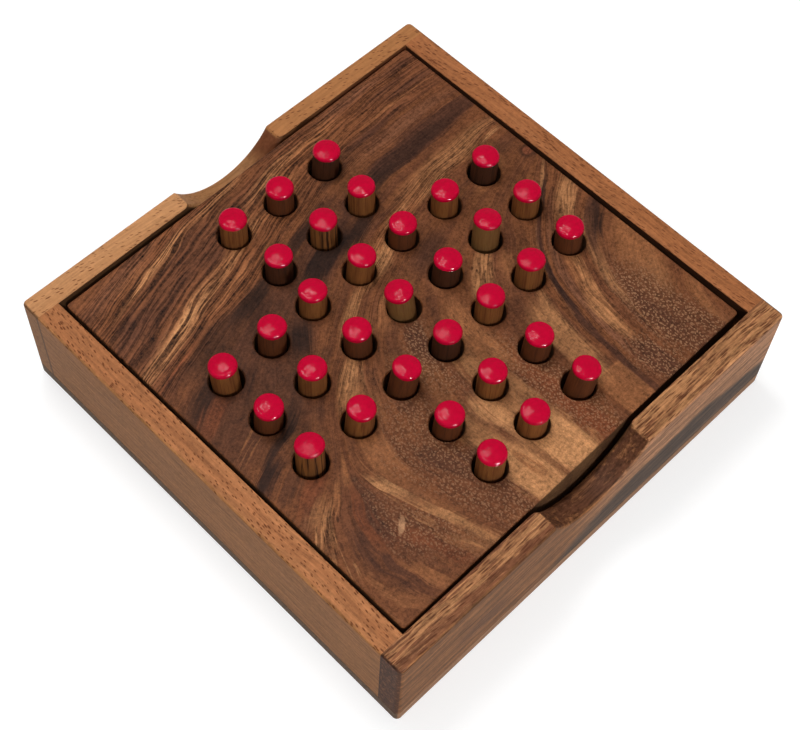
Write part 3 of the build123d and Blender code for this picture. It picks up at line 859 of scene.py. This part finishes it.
@dataclass(frozen=True)
class ScoopedWood(RailWood):
    """The wood of a rail with a thumb scoop, whose cut surface has a tone of its own."""

    scoop: Tone = Tone.SCOOP_DARK
    scoop_line: Tone = Tone.SCOOP_LINE
    thick_from: float = 0.0
    thick_to: float = 0.0
    rim: Pair = (34.0, 34.7)

    def scooped(self, graph: Graph, place: Socket) -> Socket:
        """1 on the scoop's surface, fading at its edges."""
        _, y, z = graph.split(place)
        inside = graph.times(graph.ramp(y, self.thick_from + 0.2, self.thick_from + 0.6),
                             graph.fade(y, self.thick_to - 0.6, self.thick_to - 0.2))
        return graph.times(inside, graph.fade(z, *self.rim))

    def faces(self, graph: Graph, place: Socket, colour: Socket) -> Socket:
        """Tints the faces, and then the scoop, which is streaked along the rail."""
        colour = super().faces(graph, place, colour)
        streaks = graph.noise(place, (0.05, 0.8, 0.8), 4.0, 0.7, self.seed + 6.0)
        cut = graph.mix(graph.ramp(streaks, 0.5, 0.66, 0.0, 0.8), self.scoop, self.scoop_line)
        return graph.mix(self.scooped(graph, place), colour, cut)


@dataclass(frozen=True)
class BackWood(ScoopedWood):
    """The back rail's wood: honey on the left, deeper on the right, its scoop red at one end."""

    deepens: Pair = (-22.0, 16.0)
    reddens: Pair = (4.0, 12.0)

    def faces(self, graph: Graph, place: Socket, colour: Socket) -> Socket:
        """Deepens the right half, tints the faces, and reddens the scoop's right end."""
        x, _, _ = graph.split(place)
        deep = graph.ramp(x, *self.deepens, 0.0, 0.9)
        colour = graph.mix(deep, colour, Tone.HONEY_DEEP)
        colour = super().faces(graph, place, colour)
        red = graph.times(self.scooped(graph, place), graph.ramp(x, *self.reddens))
        return graph.mix(red, colour, Tone.SCOOP_RED)


@dataclass(frozen=True)
class FrontWood(ScoopedWood):
    """The front rail's wood: a brown and a pink half outside, over a slate hump."""

    outside: float = -74.0
    sway: Pair = (24.0, 10.0)
    halves_meet: Pair = (-4.0, 26.0)
    hump_left: float = -20.0
    hump_middle: float = 36.0
    hump_right: float = 86.0
    hump_floor: float = 3.0
    hump_height: float = 18.0
    smudge: Pair = (-44.0, 15.0)
    smudge_half: Pair = (16.0, 8.0)

    def faces(self, graph: Graph, place: Socket, colour: Socket) -> Socket:
        """Lays the outer face's bands, then the tints and the scoop."""
        x, y, z = graph.split(place)
        outer = graph.fade(y, self.outside + 0.1, self.outside + 0.8)
        sway = graph.noise(place, (0.05, 0.05, 0.22), 3.0, 0.6, self.seed + 7.0)
        high = graph.scaled(sway, self.sway[1], graph.minus(z, self.sway[1] / 2))
        half = graph.ramp(graph.scaled(sway, self.sway[0], x), *self.halves_meet)
        face = graph.mix(half, Tone.FACE_BROWN, Tone.FACE_PINK)
        spot = [graph.math("DIVIDE", graph.minus(value, middle), reach)
                for value, middle, reach in zip((x, high), self.smudge, self.smudge_half)]
        spot = graph.length(graph.combine(*spot, 0.0))
        face = graph.mix(graph.fade(spot, 0.2, 1.0, 0.7), face, Tone.FACE_SMUDGE)
        left = graph.span(x, self.hump_left, self.hump_middle, -1.0, 0.0)
        right = graph.span(x, self.hump_middle, self.hump_right)
        rise = graph.math("DIVIDE", graph.minus(high, self.hump_floor), self.hump_height)
        hump = graph.length(graph.combine(graph.plus(left, right), rise, 0.0))
        face = graph.mix(graph.fade(hump, 0.8, 1.02, 0.95), face, Tone.FACE_SLATE)
        long = graph.noise(place, (0.012, 0.4, 0.32), 4.0, 0.75, self.seed + 9.0)
        face = graph.shaded(face, graph.ramp(long, 0.36, 0.64, 0.68, 1.3))
        # The top: darker on the left, and ragged dark patches in the grain; their crowding along
        # the top's outer and inner edges, most on the left, is painted shade
        colour = graph.mix(graph.fade(x, -10.0, 30.0, 0.35), colour, Tone.STRIPE_MID)
        ragged = graph.noise(place, (0.14, 1.7, 1.7), 3.0, 0.6, self.seed + 8.0)
        edge = graph.ramp(y, self.outside, self.outside + 4.5, 0.2, -0.02)
        edge = graph.plus(edge, graph.ramp(y, self.outside + 5.8, self.outside + 7.2, 0.0, 0.12))
        edge = graph.times(edge, graph.ramp(x, -20.0, 20.0, 1.0, 0.3))
        edge = graph.plus(edge, graph.ramp(x, -20.0, 20.0, 0.0, -0.05))
        ragged = graph.plus(edge, ragged)
        colour = graph.mix(graph.ramp(ragged, 0.44, 0.62, 0.0, 0.8), colour, Tone.STRIPE_DARK)
        colour = graph.mix(outer, colour, face)
        return super().faces(graph, place, colour)


class Craft:
    """Small modelling moves on the piece in hand. Places closer than NEAR count as level."""

    NEAR = 0.01 * MM

    @staticmethod
    def cylinder(name: str, sides: int, radius: float, low: float, high: float) -> Piece:
        """Adds an upright cylinder with nothing on it selected.

        Args:
            name: The piece's name.
            sides: How many sides it has.
            radius: Its radius.
            low: The height of its foot.
            high: The height of its top.

        Returns:
            The piece.
        """
        bpy.ops.object.select_all(action="DESELECT")
        bpy.ops.mesh.primitive_cylinder_add(vertices=sides, radius=radius, depth=high - low,
                                            location=(0, 0, low + (high - low) / 2))
        piece = bpy.context.object
        piece.name = name
        piece.data.name = name
        bpy.ops.object.transform_apply(location=True, rotation=True, scale=True)
        bpy.ops.object.mode_set(mode="EDIT")
        bpy.ops.mesh.select_all(action="DESELECT")
        bpy.ops.object.mode_set(mode="OBJECT")
        return piece

    @staticmethod
    def pick(piece: Piece, kind: str, low: float, high: float) -> None:
        """Selects what lies between two heights, and opens the piece in edit mode.

        Args:
            piece: The piece.
            kind: VERT, EDGE or FACE.
            low: The lowest height, in metres.
            high: The highest height, in metres.
        """
        bpy.ops.object.mode_set(mode="EDIT")
        bpy.ops.mesh.select_mode(type=kind)
        bpy.ops.mesh.select_all(action="DESELECT")
        bpy.ops.object.mode_set(mode="OBJECT")
        mesh = piece.data
        inside = [low <= v.co.z <= high for v in mesh.vertices]
        parts = {"VERT": mesh.vertices, "EDGE": mesh.edges, "FACE": mesh.polygons}[kind]
        for part in parts:
            corners = [part.index] if kind == "VERT" else part.vertices
            part.select = all(inside[i] for i in corners)
        bpy.ops.object.mode_set(mode="EDIT")

    @staticmethod
    def level(piece: Piece, kind: str, height: float) -> None:
        """Selects what lies at one height, and opens the piece in edit mode."""
        Craft.pick(piece, kind, height - Craft.NEAR, height + Craft.NEAR)

    @staticmethod
    def done(piece: Piece, angle: float) -> Piece:
        """Closes edit mode and smooths the piece up to an angle in degrees."""
        bpy.ops.object.mode_set(mode="OBJECT")
        bpy.ops.object.select_all(action="DESELECT")
        piece.select_set(True)
        bpy.context.view_layer.objects.active = piece
        bpy.ops.object.shade_smooth_by_angle(angle=math.radians(angle))
        return piece


class DowelKind(Enum):
    """The pegs' woods: a ground, the tone of its lines, and how strongly they show."""

    TAN = (Tone.DOWEL_TAN, Tone.DOWEL_RED, 0.7)
    OLIVE = (Tone.DOWEL_OLIVE, Tone.DOWEL_RED, 0.3)
    RED = (Tone.DOWEL_RED, Tone.DOWEL_DARK, 0.6)
    DARK = (Tone.DOWEL_DARK, Tone.DOWEL_LINE, 0.6)
    STRIPED = (Tone.DOWEL_TAN, Tone.DOWEL_LINE, 1.0)


@dataclass(frozen=True)
class DowelWood:
    """A peg's wood, with fibres along the peg."""

    kind: DowelKind

    def material(self) -> Material:
        """Builds the dowel's material."""
        ground, line, strength = self.kind.value
        graph = Graph(f"peg_wood_{self.kind.name.lower()}")
        grain = graph.node("ShaderNodeAttribute", {}, 1, attribute_name=Pegs.GRAIN)
        bands = graph.noise(grain, (0.45, 0.45, 0.02), 2.0)
        lines = graph.noise(grain, (1.5, 1.5, 0.04), 3.0, 0.6, 4.0)
        fibres = graph.noise(grain, (4.5, 4.5, 0.25), 2.0, 0.6, 9.0)
        colour = graph.mix(graph.ramp(bands, 0.4, 0.62, 0.0, strength * 0.5), ground, line)
        colour = graph.mix(graph.ramp(lines, 0.52, 0.62, 0.0, strength), colour, line)
        colour = graph.shaded(colour, graph.scaled(fibres, 0.7, 0.65))
        return graph.finish(colour, 0.55, fibres, 0.05 * MM)


@dataclass(frozen=True)
class RedPaint:
    """Thick gloss paint that a peg's head was dipped in."""

    name: str
    relief: float
    sheen: float = 0.15

    def material(self) -> Material:
        """Builds the paint's material."""
        graph = Graph(self.name)
        place = graph.millimetres()
        skin = graph.noise(place, 0.33)
        dust = graph.noise(place, 1.5, 2.0, 0.6, 7.0)
        cloud = graph.noise(place, 0.8, 3.0, 0.6, 17.0)
        colour = graph.mix(graph.ramp(cloud, 0.3, 0.8, 0.0, 0.6), Tone.PAINT_RED, Tone.PAINT_DEEP)
        roughness = graph.scaled(dust, 0.08, 0.06)
        height = graph.scaled(dust, self.relief, skin)
        return graph.finish(colour, roughness, height, 0.2 * MM, self.sheen)


@dataclass
class Pegs:
    """The thirty-three pegs: a turned dowel and a dipped head each, on the peg's own body.

    Lengths are in metres, except that the dome's steps and the run are in millimetres.
    """

    GRAIN = "turning"
    radius: float = 4.0 * MM
    length: float = 19.9 * MM
    foot_chamfer: float = 0.5 * MM
    top_round: float = 1.2 * MM
    end_ring: float = 0.4
    taper: float = 0.965
    head_radius: float = 4.0 * MM
    head_low: float = 19.2 * MM
    head_high: float = 20.2 * MM
    shoulder: float = 0.9 * MM
    dome: tuple[Pair, ...] = (
        (0.45, 0.15), (0.5, 0.13), (0.6, 0.11), (0.6, 0.07), (0.5, 0.03))
    rings: Pair = (0.3, 0.7)
    coat: float = 0.14 * MM
    rim_round: float = 0.05 * MM
    run_mean: float = 0.1
    run_wave: float = 0.32
    oval: float = 0.008
    swelling: float = 0.048
    seed: int = 33
    rough: tuple[int, ...] = (19, 20, 21, 24)
    kinds: dict[DowelKind, tuple[int, ...]] = field(default_factory=lambda: {
        DowelKind.TAN: (1, 6, 7, 9, 10, 12, 15, 22, 25, 26, 29, 31, 32, 20),
        DowelKind.OLIVE: (17, 19),
        DowelKind.RED: (2, 8, 11, 14, 16, 23, 27, 28, 30, 33),
        DowelKind.DARK: (3, 4, 13, 18, 24),
        DowelKind.STRIPED: (5, 21),
    })

    def dowel(self) -> Piece:
        """Turns the dowel that every peg copies, standing on the origin."""
        piece = Craft.cylinder("dowel", 64, self.radius, 0.0, self.length)
        for height, offset, segments in ((0.0, self.foot_chamfer, 3),
                                         (self.length, self.top_round, 4)):
            Craft.level(piece, "EDGE", height)
            bpy.ops.mesh.bevel(offset=offset, segments=segments, affect="EDGES")
        for height in (0.0, self.length):
            Craft.level(piece, "FACE", height)
            bpy.ops.mesh.inset(thickness=self.radius * self.end_ring)
        Craft.pick(piece, "VERT", self.length / 2, self.length + MM)
        bpy.ops.transform.resize(value=(self.taper, self.taper, 1.0),
                                 center_override=(0, 0, self.length))
        return Craft.done(piece, angle=40.0)

    def head(self) -> Piece:
        """Shapes the coat of paint that every head copies: an open bell with a rounded rim."""
        piece = Craft.cylinder("head", 72, self.head_radius, self.head_low, self.head_high)
        Craft.level(piece, "FACE", self.head_low)
        bpy.ops.mesh.delete(type="FACE")
        Craft.level(piece, "EDGE", self.head_high)
        bpy.ops.mesh.bevel(offset=self.shoulder, segments=7, affect="EDGES", profile=0.5)
        # The dome: rings that step in and rise less and less
        Craft.level(piece, "FACE", self.head_high)
        for step, rise in self.dome:
            bpy.ops.mesh.inset(thickness=step * MM, depth=rise * MM)
        bpy.ops.mesh.poke()
        # Two rings round the wall, which drip swells where the paint has gathered
        for share in self.rings:
            bpy.ops.mesh.select_all(action="SELECT")
            height = self.head_low + share * (self.head_high - self.shoulder - self.head_low)
            bpy.ops.mesh.bisect(plane_co=(0, 0, height), plane_no=(0, 0, 1))
        bpy.ops.object.mode_set(mode="OBJECT")
        coat = piece.modifiers.new("coat", "SOLIDIFY")
        coat.thickness = self.coat
        coat.offset = -1.0
        bpy.ops.object.modifier_apply(modifier=coat.name)
        soft = piece.modifiers.new("soft", "BEVEL")
        soft.width = self.rim_round
        soft.segments = 2
        soft.angle_limit = math.radians(60.0)
        bpy.ops.object.modifier_apply(modifier=soft.name)
        return Craft.done(piece, angle=60.0)

    def copied(self, master: Piece, name: str) -> Piece:
        """Copies a piece with a mesh of its own.

        Args:
            master: The piece to copy.
            name: The copy's name.

        Returns:
            The copy.
        """
        piece = bpy.data.objects.new(name, master.data.copy())
        piece.data.name = name
        bpy.context.scene.collection.objects.link(piece)
        return piece

    def drip(self, piece: Piece, chance: random.Random) -> None:
        """Lets a head's coat run down unevenly and bulge a little.

        Args:
            piece: The head, standing on the origin.
            chance: The source of its unevenness.
        """
        waves = [(turns, chance.uniform(0.0, math.tau), chance.uniform(0.3, 1.0) / turns)
                 for turns in (1, 2, 3, 5, 8, 11)]
        swell = chance.uniform(0.0, math.tau)
        wall_top = self.head_high - self.shoulder
        for vertex in piece.data.vertices:
            angle = math.atan2(vertex.co.y, vertex.co.x)
            run = sum(size * math.sin(turns * angle + phase) for turns, phase, size in waves)
            low = min(max((wall_top - vertex.co.z) / (wall_top - self.head_low), 0.0), 1.0)
            vertex.co.z -= (self.run_mean + self.run_wave * run) * MM * low
            out = 1.0 + self.oval * math.sin(2 * angle + swell) + self.swelling * low * (1.0 - low)
            vertex.co.x *= out
            vertex.co.y *= out

    def stand(self, number: int) -> Matrix:
        """Where a peg stands: the middle of its foot and its lean, read from its node.

        Args:
            number: The peg's number.

        Returns:
            The matrix from the upright peg at the origin to its place.
        """
        name = f"peg_{number:02d}"
        joint = next(j for j in frame["joints"] if j["child"] == name)
        lean = Vector(joint["axis"]).normalized()
        corners = [v.co for v in frame["nodes"][name].data.vertices]
        low = min(c.dot(lean) for c in corners)
        ring = [c for c in corners if c.dot(lean) < low + 2 * Craft.NEAR]
        spots = {tuple(round(v / MM, 3) for v in c) for c in ring}
        foot = sum((Vector(s) for s in spots), Vector()) * MM / len(spots)
        turn = Vector((0, 0, 1)).rotation_difference(lean)
        return Matrix.Translation(foot) @ turn.to_matrix().to_4x4()

    def build(self) -> None:
        """Copies, varies, places and dresses the pegs."""
        dowel, head = self.dowel(), self.head()
        smooth = RedPaint("peg_paint", 0.08).material()
        rough = RedPaint("peg_paint_rough", 0.5).material()
        woods = {kind: DowelWood(kind).material() for kind in DowelKind}
        chance = random.Random(self.seed)
        for kind, numbers in self.kinds.items():
            for number in numbers:
                name = f"peg_{number:02d}"
                place = self.stand(number)
                spin = Matrix.Rotation(chance.uniform(0.0, math.tau), 4, "Z")
                wood = self.copied(dowel, f"{name}_dowel")
                grain = wood.data.attributes.new(self.GRAIN, "FLOAT_VECTOR", "POINT")
                shift = Vector([chance.uniform(0, 50) for _ in range(3)])
                for vertex, value in zip(wood.data.vertices, grain.data):
                    value.vector = vertex.co / MM + shift
                cap = self.copied(head, f"{name}_head")
                self.drip(cap, chance)
                paint = rough if number in self.rough else smooth
                for piece, material, slot in ((wood, woods[kind], "peg_wood"),
                                              (cap, paint, "peg_paint")):
                    piece.data.transform(place @ spin)
                    piece.data.materials.clear()
                    piece.data.materials.append(material)
                    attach(piece, name)
                    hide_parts(name)
                LOG.info("%s turned in %s wood", name, kind.name.lower())
        for master in (dowel, head):
            bpy.data.objects.remove(master)


@dataclass
class Tray:
    """The rails, base and ledges, which keep their solids and get their woods."""

    # The inner tints paint shade on the rails' inner faces along the gap round the loose board.
    woods: dict[str, RailWood] = field(default_factory=lambda: {
        "back_rail": BackWood(
            "back_rail_wood", Along.X, Tone.HONEY, Tone.HONEY_DEEP, seed=3.0, band=0.3, streak=0.1,
            fibre=0.08, pore_slant=20.0, pore_length=1.3, pore_width=0.34, pore_size=0.28,
            scoop=Tone.SCOOP_TAN, thick_from=67.3, thick_to=74.0,
            tints=(FaceTint(0, -75.0, Tone.BACK_END),),
            inner=FaceTint(1, 67.0, Tone.INSIDE, 0.85, 2.2)),
        "left_rail": RailWood(
            "left_rail_wood", Along.Y, Tone.AMBER, Tone.AMBER_DEEP, seed=7.0, streak=0.18,
            pore_slant=-8.0, pore_length=1.1, pore_width=0.34, pore_size=0.35, pore_strength=0.85,
            # The outer face's tone is painted light, set apart from the top for how light falls on
            # that side
            tints=(FaceTint(0, -75.0, Tone.AMBER_SIDE),),
            inner=FaceTint(0, -67.2, Tone.INSIDE, 0.85, 1.6)),
        "right_rail": RailWood(
            "right_rail_wood", Along.Y, Tone.RAIL_TAN, Tone.AMBER_DEEP, seed=13.0, streak=0.12,
            pore_slant=10.0, pore_length=1.5, pore_width=0.38, pore_size=0.29,
            inner=FaceTint(0, 67.6, Tone.INSIDE, 0.95, 1.8)),
        "front_rail": FrontWood(
            "front_rail_wood", Along.X, Tone.STRIPE_LIGHT, Tone.STRIPE_MID, Tone.STRIPE_PORE,
            seed=19.0, streak=0.3, fibre=0.2, pore_slant=2.0, pore_length=2.6, pore_width=0.32,
            pore_size=0.37, pore_strength=0.85, thick_from=-74.0, thick_to=-66.8,
            tints=(FaceTint(0, -75.0, Tone.END_GRAIN), FaceTint(0, 75.0, Tone.END_GRAIN)),
            inner=FaceTint(1, -66.4, Tone.INSIDE, 0.85, 1.4)),
        "base_sheet": RailWood(
            "base_wood", Along.X, Tone.BASE_LIGHT, Tone.FACE_BROWN, seed=23.0, band=0.4,
            pore_size=0.24, tints=(FaceTint(0, -75.0, Tone.BASE_GREY),)),
        "left_ledge": RailWood(
            "left_ledge_wood", Along.Y, Tone.LEDGE_BROWN, Tone.FACE_BROWN, seed=29.0),
        "right_ledge": RailWood(
            "right_ledge_wood", Along.Y, Tone.LEDGE_BROWN, Tone.FACE_BROWN, seed=31.0),
    })

    def build(self) -> None:
        """Gives every piece of the tray its wood."""
        for name, wood in self.woods.items():
            dress(name, wood.material())
            LOG.info("%s dressed", name)


def dress(node: str, material: Material) -> None:
    """Puts one material on a solid.

    Args:
        node: The solid's name.
        material: Its new material.
    """
    mesh = frame["nodes"][node].data
    mesh.materials.clear()
    mesh.materials.append(material)


@dataclass
class Studio:
    """The camera, a white floor and soft lamps."""

    eye: Triple = (-0.17825, -0.16114, 0.40918)
    right: Triple = (0.71067, -0.70281, 0.03177)
    down: Triple = (-0.59341, -0.62308, -0.50955)
    focal_length: float = 72.57
    sensor: float = 36.0
    floor_size: float = 6.0
    floor_matt: float = 0.5
    floor_glow: float = 0.62
    world_level: float = 0.25

    def camera(self) -> None:
        """Sets the camera where the photograph was taken."""
        lens = bpy.data.cameras.new("camera")
        lens.sensor_fit = "HORIZONTAL"
        lens.sensor_width = self.sensor
        lens.lens = self.focal_length
        lens.clip_start = 0.01
        right, up = Vector(self.right).normalized(), -Vector(self.down)
        back = right.cross(up).normalized()
        up = back.cross(right)
        camera = bpy.data.objects.new("camera", lens)
        turn = Matrix((right, up, back)).transposed().to_4x4()
        camera.matrix_world = Matrix.Translation(self.eye) @ turn
        bpy.context.scene.collection.objects.link(camera)
        bpy.context.scene.camera = camera

    def lamp(self, name: str, place: Triple, size: float, power: float,
             diffuse: bool = True, glossy: bool = True) -> None:
        """Hangs a soft square lamp that faces the object.

        Args:
            name: The lamp's name.
            place: Where it hangs.
            size: The side of its square.
            power: Its power in watts.
            diffuse: Whether it lights matt surfaces.
            glossy: Whether it shows in glossy surfaces.
        """
        light = bpy.data.lights.new(name, "AREA")
        light.size = size
        light.energy = power
        lamp = bpy.data.objects.new(name, light)
        lamp.location = place
        lamp.rotation_euler = Vector(place).to_track_quat("Z", "Y").to_euler()
        lamp.visible_diffuse = diffuse
        lamp.visible_glossy = glossy
        bpy.context.scene.collection.objects.link(lamp)

    def seen(self, graph: Graph) -> Socket:
        """1 where the camera, a reflection or glass looks straight at the surface."""
        path = graph.tree.nodes.new("ShaderNodeLightPath").outputs
        total = path["Is Camera Ray"]
        for name in ("Is Glossy Ray", "Is Transmission Ray"):
            total = graph.node("ShaderNodeMath", {0: total, 1: path[name]}, operation="ADD",
                               use_clamp=True)
        return total

    def surroundings(self) -> None:
        """Surrounds the scene with an even soft light."""
        world = bpy.data.worlds.new("surroundings")
        world.use_nodes = True
        bpy.context.scene.world = world
        light = world.node_tree.nodes["Background"]
        light.inputs["Color"].default_value = (1.0, 1.0, 1.0, 1.0)
        light.inputs["Strength"].default_value = self.world_level

    def floor(self) -> None:
        """Lays the floor: white to look at, and dimmed softly by the object's shadow."""
        bpy.ops.object.select_all(action="DESELECT")
        bpy.ops.mesh.primitive_plane_add(size=self.floor_size, location=(0, 0, -0.1 * MM))
        floor = bpy.context.object
        floor.name = "floor"
        graph = Graph("floor")
        graph.tree.nodes.clear()
        matt = graph.node("ShaderNodeBsdfDiffuse", {"Color": (*(self.floor_matt,) * 3, 1.0)})
        glow = graph.node("ShaderNodeEmission", {"Color": (*(self.floor_glow,) * 3, 1.0),
                                                 "Strength": self.seen(graph)})
        both = graph.node("ShaderNodeAddShader", {0: matt, 1: glow})
        out = graph.tree.nodes.new("ShaderNodeOutputMaterial")
        graph.feed(out.inputs["Surface"], both)
        floor.data.materials.append(graph.material)

    def build(self) -> None:
        """Sets up the studio."""
        bpy.context.scene.view_settings.view_transform = "Standard"
        self.camera()
        self.surroundings()
        self.floor()
        self.lamp("ceiling", (0.0, 0.10, 0.85), 0.80, 2.15, glossy=False)
        self.lamp("softbox", (0.05, 0.25, 0.77), 0.24, 2.5, glossy=False)
        self.lamp("gleam", (0.05, 0.25, 0.77), 0.28, 5.0, diffuse=False)
        self.lamp("glint", (-0.10, -0.62, 0.36), 0.16, 12.0, diffuse=False)
        self.lamp("near_side", (-0.27, -0.60, 0.42), 0.045, 2.0)


def main() -> None:
    """Builds the studio and the board's pieces in order."""
    logging.basicConfig(level=logging.INFO, format="%(name)s: %(message)s")
    Studio().build()
    Tray().build()
    dress("loose_board", BoardWood().material())
    LOG.info("loose_board dressed")
    Pegs().build()


if __name__ == "__main__":
    main()
